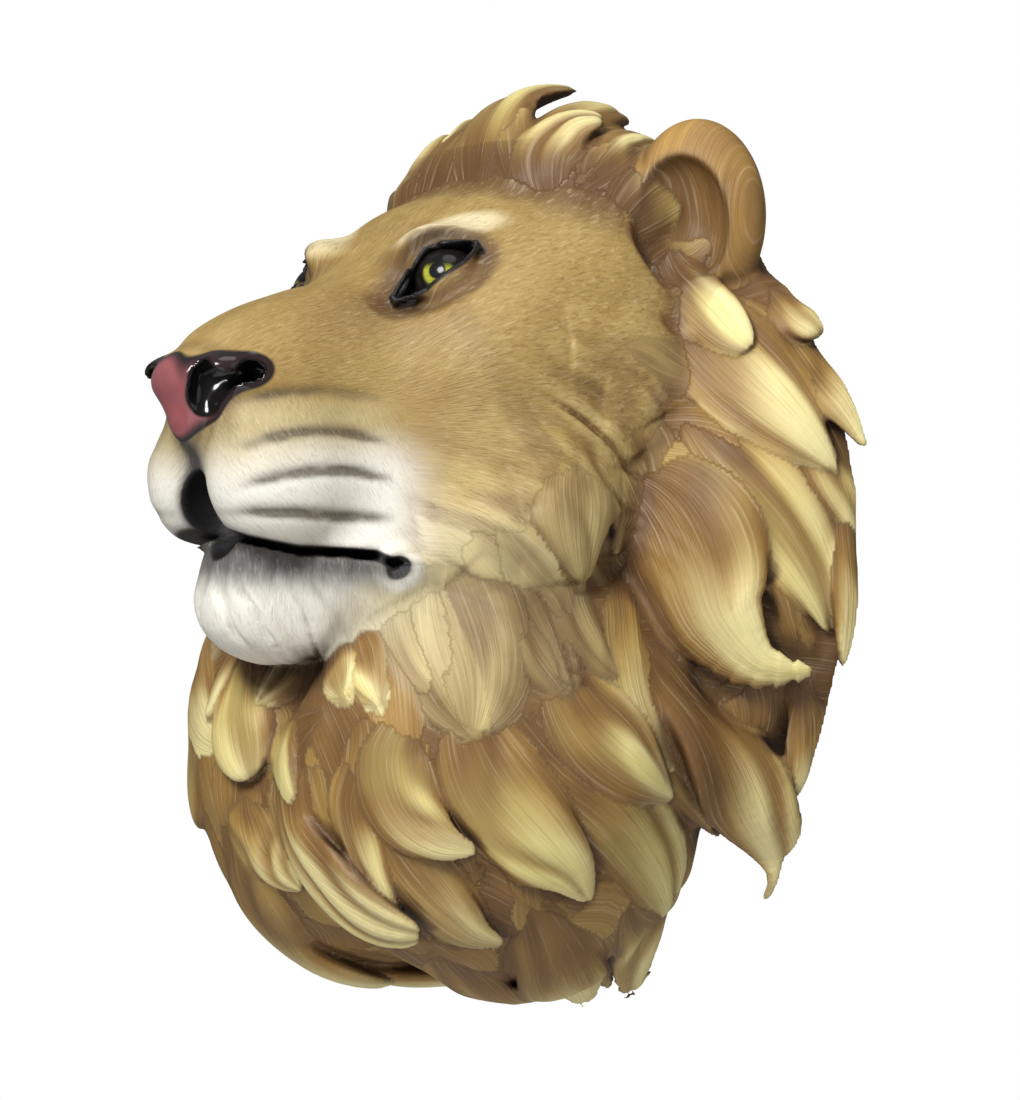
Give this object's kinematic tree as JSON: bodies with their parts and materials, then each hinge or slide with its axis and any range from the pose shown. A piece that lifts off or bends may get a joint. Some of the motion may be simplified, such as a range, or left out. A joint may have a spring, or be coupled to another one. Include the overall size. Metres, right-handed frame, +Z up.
{
  "type": "lion head wall sculpture",
  "caption": "Lion head and mane cast as a wall sculpture, with a flat back that takes a wall screw in a keyhole.",
  "frame": {"origin": "centre of the flat back, on the wall plane", "axes": "+Z up, the wall is the plane y = 0, the lion looks along -Y and its left side is at +X"},
  "size_m": [0.3303, 0.2404, 0.4126],
  "materials": {
    "painted_resin": "hand painted, satin"
  },
  "bodies": {
    "root": {"lion_head": "painted_resin"}
  },
  "joints": []
}
